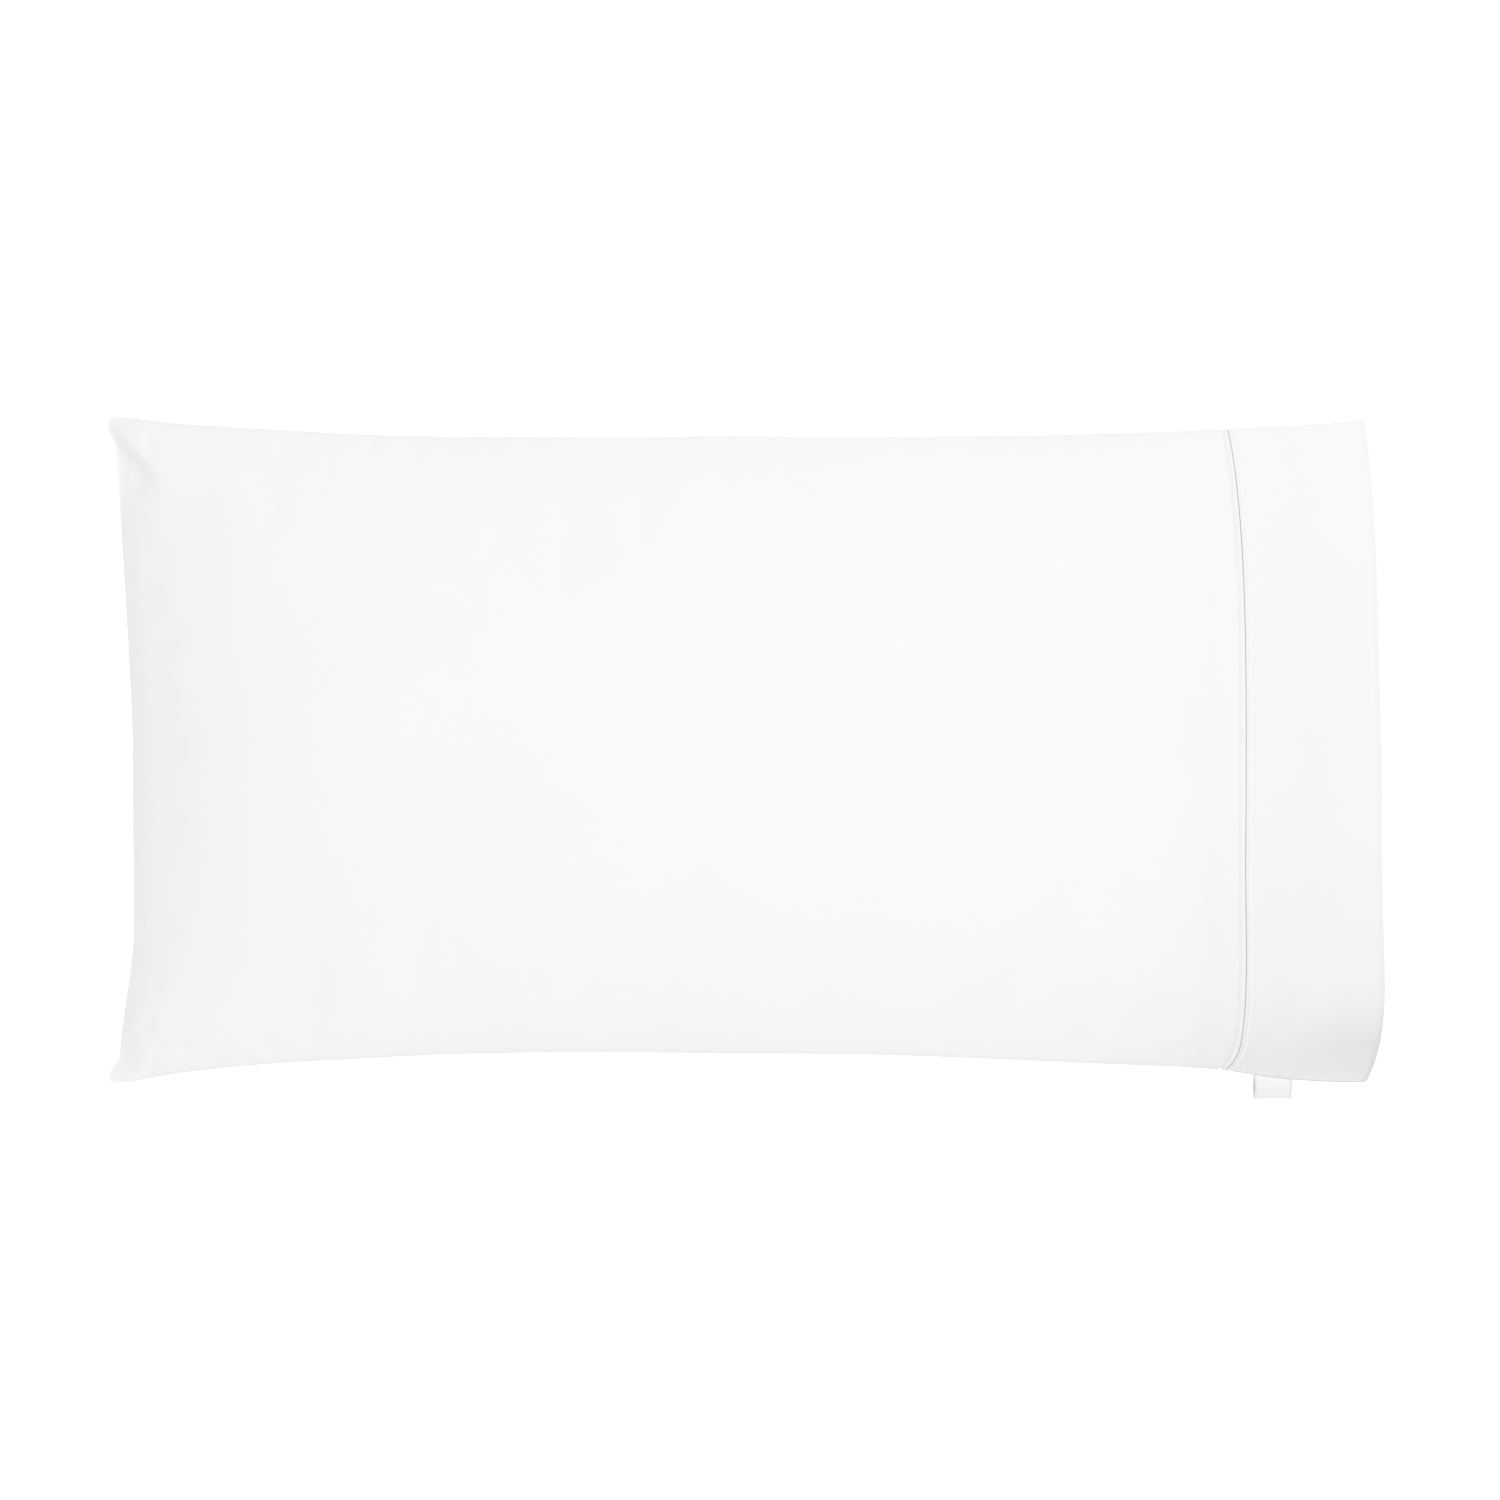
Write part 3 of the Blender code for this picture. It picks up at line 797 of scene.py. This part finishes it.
# The hem's fold at the mouth: pressed thin, with a faint ridge behind it
HEM_RADIUS = 0.0005
HEM_TURN_ROWS = 4
HEM_TURN_SIDE = 0.0008  # how far each row of the fold draws in at the sides
HEM_PRESS = 0.0007
HEM_PRESS_RUN = 0.0022
HEM_RIDGE = 0.00012
HEM_RIDGE_BACK = 0.0042
HEM_RIDGE_RUN = 0.0012
# The inner layer: how far below the outer one it lies, and how far inside its sides
LAYER_APART = 0.0011
SIDE_BAND = 0.004
MOUTH_SIDE_BAND = 0.0032
LAYER_RUN = 0.01  # from the mouth's values to the full ones


def cuff_rings():
    """Rings of the folded hem cloth: (along, inset, side inset) out to the mouth and back inside."""
    outer = [(CUFF_SEAM + row.ahead, row.sunk) for row in CUFF_ROWS]
    start = CUFF_SEAM + CUFF_ROWS[-1].ahead
    end = MOUTH - HEM_RADIUS
    for row in range(1, CUFF_PLAIN_ROWS + 1):
        share = row / CUFF_PLAIN_ROWS
        along = start + (end - start) * (1 - (1 - share) ** CUFF_ROW_EASE)
        edge = end - along
        pressed = HEM_PRESS * math.exp(-((edge / HEM_PRESS_RUN) ** 2))
        ridge = HEM_RIDGE * math.exp(-(((edge - HEM_RIDGE_BACK) / HEM_RIDGE_RUN) ** 2))
        outer.append((along, pressed - ridge))
    rings = [(along, sunk, side_inset_of(max(sunk, 0.0))) for along, sunk in outer]
    last_sunk = outer[-1][1]
    for step in range(1, HEM_TURN_ROWS):
        turn = math.pi * step / HEM_TURN_ROWS
        along = end + HEM_RADIUS * math.sin(turn)
        sunk = last_sunk + HEM_RADIUS * (1 - math.cos(turn))
        rings.append((along, sunk, side_inset_of(last_sunk) + HEM_TURN_SIDE * step))
    for along, sunk in reversed(outer[::2]):
        inwards = smooth_step((end - along) / LAYER_RUN)
        apart = 2 * HEM_RADIUS + (LAYER_APART - 2 * HEM_RADIUS) * inwards
        band = MOUTH_SIDE_BAND + (SIDE_BAND - MOUTH_SIDE_BAND) * inwards
        rings.append((along, max(sunk, 0.0) + apart, side_inset_of(max(sunk, 0.0)) + band))
    return rings


def cuff_form():
    """The folded hem cloth as one open sheet: a ring drawn out to the mouth and back inside."""
    rings = cuff_rings()
    bm = bmesh.new()
    along_of = bm.verts.layers.float.new("along")
    across_of = bm.verts.layers.float.new("across")
    step_of = bm.verts.layers.int.new("step")
    first = bmesh.ops.create_circle(bm, segments=CUFF_AROUND, radius=1.0)["verts"]
    for vert in first:
        turn = math.atan2(vert.co.y, vert.co.x) / (2 * math.pi) * CUFF_AROUND
        vert[step_of] = round(turn) % CUFF_AROUND

    def place(verts, ring, travelled):
        """Lays a ring's points on the form, and notes how much cloth has been travelled."""
        along, inset, side_inset = ring
        half_count = CUFF_AROUND // 2
        for vert in verts:
            step = vert[step_of]
            upper = step <= half_count
            share = 1 - step / half_count if upper else step / half_count - 1
            across = spaced_across(share)
            vert.co = form_point(along, across, upper, inset, side_inset)
            vert[along_of] = travelled
            vert[across_of] = across

    place(first, rings[0], rings[0][0])
    edges = list(bm.edges)
    travelled = rings[0][0]
    for before, ring in zip(rings, rings[1:]):
        travelled += math.hypot(ring[0] - before[0], ring[1] - before[1])
        drawn = bmesh.ops.extrude_edge_only(bm, edges=edges)["geom"]
        place(vertices_of(drawn), ring, travelled)
        edges = [item for item in drawn if isinstance(item, bmesh.types.BMEdge) and item.is_boundary]
    bmesh.ops.recalc_face_normals(bm, faces=bm.faces)
    return bm


class PILLOWCASE_OT_cuff(bpy.types.Operator):
    """Make the deep hem round the mouth, one strip of cloth folded double"""

    bl_idname = "pillowcase.make_cuff"
    bl_label = "Cuff"

    def execute(self, context):
        sizes, colours = context.scene.case_sizes, context.scene.case_colours
        finish = bpy.data.materials.get("bleached_percale") or bleached_percale(colours)
        piece = piece_from(cuff_form(), "hem_cuff", finish)
        add_cloth_uv(piece)
        wall = piece.modifiers.new("wall", "SOLIDIFY")
        wall.thickness = sizes.cloth_thickness
        wall.offset = -1.0
        apply_modifiers(piece)
        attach(piece, "root")
        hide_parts("cuff")
        return {"FINISHED"}


# The stitch row
STITCH_BACK = 0.0040  # behind the lip's front
STITCH_SUNK = 0.0006
STITCH_LINE_STEPS = 700
STITCH_LINE_END = 0.995  # across the case, where the row turns to the other side
STITCH_MIDDLE = 0.05  # height from which the stitches face outwards
STITCH_UNDER = 0.004  # stitches lower than this face the surface
THREAD_FLATNESS = 0.8


def stitch_point(share, upper):
    """A point of the stitch row, at a share of its way across the upper or the under side."""
    across = (2 * share - 1) * STITCH_LINE_END * (1 if upper else -1)
    return form_point(CUFF_SEAM - STITCH_BACK, across, upper, STITCH_SUNK, side_inset_of(STITCH_SUNK))


def stitch_places(pitch):
    """Evenly spaced places along the hemstitched edge, all round, each with its direction."""
    line = []
    for upper in (True, False):
        for step in range(STITCH_LINE_STEPS + 1):
            line.append(stitch_point(step / STITCH_LINE_STEPS, upper))
    line.append(line[0])
    places = []
    travelled, due = 0.0, pitch / 2
    for here, there in zip(line, line[1:]):
        run = (there - here).length
        while run > 0 and due <= travelled + run:
            share = (due - travelled) / run
            places.append((here.lerp(there, share), (there - here).normalized()))
            due += pitch
        travelled += run
    return places


class PILLOWCASE_OT_stitches(bpy.types.Operator):
    """Sew the row of stitches that holds the cuff, all round the case"""

    bl_idname = "pillowcase.make_stitches"
    bl_label = "Hemstitching"

    def execute(self, context):
        sizes, colours = context.scene.case_sizes, context.scene.case_colours
        bm = bmesh.new()
        thick = sizes.thread_width / 2
        size = Matrix.Diagonal((thick, sizes.stitch_length / 2, thick * THREAD_FLATNESS, 1.0))
        for place, direction in stitch_places(sizes.stitch_pitch):
            outward = Vector((0.0, place.y, place.z - STITCH_MIDDLE)).normalized()
            if place.z < STITCH_UNDER:
                outward = Vector((0.0, 0.0, -1.0))
            cross = outward.cross(direction).normalized()
            outward = direction.cross(cross).normalized()
            turn = Matrix((cross, direction, outward)).transposed().to_4x4()
            bmesh.ops.create_uvsphere(
                bm, u_segments=6, v_segments=4, radius=1.0,
                matrix=Matrix.Translation(place) @ turn @ size)
        piece = piece_from(bm, "hem_stitches", mercerised_thread(colours))
        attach(piece, "root")
        return {"FINISHED"}


# The label's tape
LABEL_STEPS = 40
LABEL_COLUMNS = 30
LABEL_THICKNESS = 0.0004
LABEL_DROOP = 0.003  # how far its fold hangs below the seam
LABEL_BEND = 0.0007  # radius of its fold
LABEL_OVERLAP = 0.001  # how far its ends are sewn into the side seam
LABEL_GAPE_POWER = 1.5  # how quickly the loop closes towards its other side


def label_section(share, length):
    """Place (out, up) on the loop's section; share runs from -1 on its upper layer to 1 on the lower."""
    straight = length - LABEL_BEND
    quarter = LABEL_BEND * math.pi / 2
    travelled = abs(share) * (straight + quarter)
    up_or_down = 1 if share < 0 else -1
    if travelled < quarter:
        turn = travelled / LABEL_BEND
        return straight + LABEL_BEND * math.cos(turn), LABEL_BEND * math.sin(turn) * up_or_down
    return straight - (travelled - quarter), LABEL_BEND * up_or_down


def label_form(sizes):
    """The label's tape: a strip that runs out from the side seam, folds and runs back under itself."""
    start, width = LABEL_LOW.x, LABEL_HIGH.x - LABEL_LOW.x
    bm = bmesh.new()
    bmesh.ops.create_grid(bm, x_segments=LABEL_COLUMNS, y_segments=LABEL_STEPS, size=0.5)
    along_of = bm.verts.layers.float.new("along")
    across_of = bm.verts.layers.float.new("across")
    for vert in bm.verts:
        share_x, share_y = vert.co.x + 0.5, 2 * vert.co.y
        edge = half_width(start + share_x * width, -1) - LABEL_OVERLAP
        length = -LABEL_LOW.y - edge
        out, up = label_section(share_y, length)
        layer = 1 if share_y < 0 else -1
        gape = math.sin(math.pi * limited(out / length)) * (1 - share_x) ** LABEL_GAPE_POWER
        x = start + share_x * width + layer * sizes.label_skew * gape
        seam = seam_level(x, -1.0) - LABEL_DROOP * (out / length) ** 2
        vert.co = (x, -edge - out, seam + up + layer * sizes.label_gape / 2 * gape)
        vert[along_of] = share_x * width
        vert[across_of] = (share_y + 1) * length / (FLAT_WIDTH / 2)
    bmesh.ops.recalc_face_normals(bm, faces=bm.faces)
    return bm


class PILLOWCASE_OT_label(bpy.types.Operator):
    """Make the small folded label in the near side seam of the cuff"""

    bl_idname = "pillowcase.make_label"
    bl_label = "Side label"

    def execute(self, context):
        sizes, colours = context.scene.case_sizes, context.scene.case_colours
        piece = piece_from(label_form(sizes), "side_label", satin_label_tape(colours))
        add_cloth_uv(piece)
        wall = piece.modifiers.new("wall", "SOLIDIFY")
        wall.thickness = LABEL_THICKNESS
        wall.offset = 0.0
        apply_modifiers(piece)
        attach(piece, "root")
        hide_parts("label")
        return {"FINISHED"}


# The camera looks straight down
CAMERA_HEIGHT = 2.6
CAMERA_ALONG = 0.00362
CAMERA_LENS = 76.62  # millimetres
SENSOR = 36.0  # millimetres

# A bright tent all round, and three weak discs: two high at the far side, one low at the near side
FILL_STRENGTH = 0.857
Lamp = namedtuple("Lamp", "name width power x y z")
LAMPS = (
    Lamp("key", 1.6, 9.7, 0.956, 0.956, 2.90),
    Lamp("far", 1.6, 9.8, 0.0, 1.352, 2.90),
    Lamp("near", 2.0, 10.1, 0.0, -3.169, 1.05),
)
# As the camera sees them, the floor and the tent are brighter still and show white
SEEN_FLOOR = 2.2
SEEN_TENT = 1.3
FLOOR_SIZE = 15.0
FLOOR_DROP = 0.0002  # below the case, so that the two don't share a plane
# A low dark card stands on the floor beyond the near corner of the mouth and keeps some light off it
FLAG_START = (0.482, -0.418)
FLAG_END = (0.638, -0.262)
FLAG_HEIGHT = 0.105
FLAG_GREY = 0.01


def add_floor(colours):
    """The plain pale floor on which the case lies."""
    bm = bmesh.new()
    bmesh.ops.create_grid(bm, x_segments=1, y_segments=1, size=FLOOR_SIZE)
    finish, tree, output = new_finish("pale_floor")
    plain = add_node(tree, "ShaderNodeBsdfDiffuse", None, {"Color": (*colours.floor, 1.0)})
    burnt_out = add_node(tree, "ShaderNodeBsdfDiffuse", None, {"Color": grey(SEEN_FLOOR)})
    seen = add_node(tree, "ShaderNodeLightPath").outputs["Is Camera Ray"]
    both = add_node(tree, "ShaderNodeMixShader", None, None,
                    {0: seen, 1: plain.outputs["BSDF"], 2: burnt_out.outputs["BSDF"]})
    tree.links.new(both.outputs["Shader"], output.inputs["Surface"])
    floor = piece_from(bm, "floor", finish)
    floor.data.transform(Matrix.Translation((0.0, 0.0, -FLOOR_DROP)))


def add_flag():
    """The dark card, which the camera doesn't see."""
    bm = bmesh.new()
    bmesh.ops.create_grid(bm, x_segments=1, y_segments=1, size=0.5)
    for vert in bm.verts:
        share = vert.co.x + 0.5
        along, side = (a + (b - a) * share for a, b in zip(FLAG_START, FLAG_END))
        vert.co = Vector((along, side, (vert.co.y + 0.5) * FLAG_HEIGHT))
    finish, tree, output = new_finish("dark_card")
    matt = add_node(tree, "ShaderNodeBsdfDiffuse", None, {"Color": grey(FLAG_GREY)})
    tree.links.new(matt.outputs["BSDF"], output.inputs["Surface"])
    flag = piece_from(bm, "flag", finish)
    flag.visible_camera = False


def add_tent(scene):
    """The bright tent round the case."""
    world = bpy.data.worlds.new("studio")
    scene.world = world
    world.use_nodes = True
    tree = world.node_tree
    tree.nodes.clear()
    seen = add_node(tree, "ShaderNodeLightPath").outputs["Is Camera Ray"]
    fill = add_node(
        tree, "ShaderNodeBackground", None, {"Color": grey(1.0), "Strength": FILL_STRENGTH})
    backdrop = add_node(
        tree, "ShaderNodeBackground", None, {"Color": grey(1.0), "Strength": SEEN_TENT})
    mixed = add_node(tree, "ShaderNodeMixShader", None, None,
                     {0: seen, 1: fill.outputs["Background"], 2: backdrop.outputs["Background"]})
    add_node(tree, "ShaderNodeOutputWorld", None, None, {"Surface": mixed.outputs["Shader"]})


def add_lamp(scene, disc):
    """One soft disc of light, turned towards the middle of the case."""
    lamp = bpy.data.lights.new(disc.name, "AREA")
    lamp.shape = "DISK"
    lamp.size = disc.width
    lamp.energy = disc.power
    holder = bpy.data.objects.new(disc.name, lamp)
    holder.location = (disc.x, disc.y, disc.z)
    holder.rotation_euler = (-holder.location).to_track_quat("-Z", "Y").to_euler()
    scene.collection.objects.link(holder)


def add_camera(scene):
    """The camera, straight above the case."""
    lens = bpy.data.cameras.new("camera")
    lens.sensor_width = SENSOR
    lens.lens = CAMERA_LENS
    camera = bpy.data.objects.new("camera", lens)
    camera.location = (CAMERA_ALONG, 0.0, CAMERA_HEIGHT)
    scene.collection.objects.link(camera)
    scene.camera = camera


class PILLOWCASE_OT_stage(bpy.types.Operator):
    """Set the pale floor, the soft lights and the camera straight above the case"""

    bl_idname = "pillowcase.make_stage"
    bl_label = "Stage"

    def execute(self, context):
        add_floor(context.scene.case_colours)
        add_flag()
        add_tent(context.scene)
        for disc in LAMPS:
            add_lamp(context.scene, disc)
        add_camera(context.scene)
        context.scene.view_settings.view_transform = "Standard"
        return {"FINISHED"}


class PILLOWCASE_PT_panel(bpy.types.Panel):
    """Lists the pieces of the pillowcase"""

    bl_label = "Pillowcase"
    bl_idname = "PILLOWCASE_PT_panel"
    bl_space_type = "VIEW_3D"
    bl_region_type = "UI"
    bl_category = "Pillowcase"

    def draw(self, context):
        for operator in OPERATORS:
            self.layout.operator(operator.bl_idname)
        for group in (context.scene.case_sizes, context.scene.case_colours):
            column = self.layout.column()
            for name in group.__annotations__:
                column.prop(group, name)


OPERATORS = (
    PILLOWCASE_OT_body,
    PILLOWCASE_OT_cuff,
    PILLOWCASE_OT_stitches,
    PILLOWCASE_OT_label,
    PILLOWCASE_OT_stage,
)
CLASSES = (CaseSizes, CaseColours, *OPERATORS, PILLOWCASE_PT_panel)


def register():
    for item in CLASSES:
        bpy.utils.register_class(item)
    bpy.types.Scene.case_sizes = bpy.props.PointerProperty(type=CaseSizes)
    bpy.types.Scene.case_colours = bpy.props.PointerProperty(type=CaseColours)


def unregister():
    del bpy.types.Scene.case_colours
    del bpy.types.Scene.case_sizes
    for item in reversed(CLASSES):
        bpy.utils.unregister_class(item)


def main():
    """Makes every piece and the stage."""
    register()
    bpy.ops.pillowcase.make_body()
    bpy.ops.pillowcase.make_cuff()
    bpy.ops.pillowcase.make_stitches()
    bpy.ops.pillowcase.make_label()
    bpy.ops.pillowcase.make_stage()


if __name__ == "__main__":
    main()
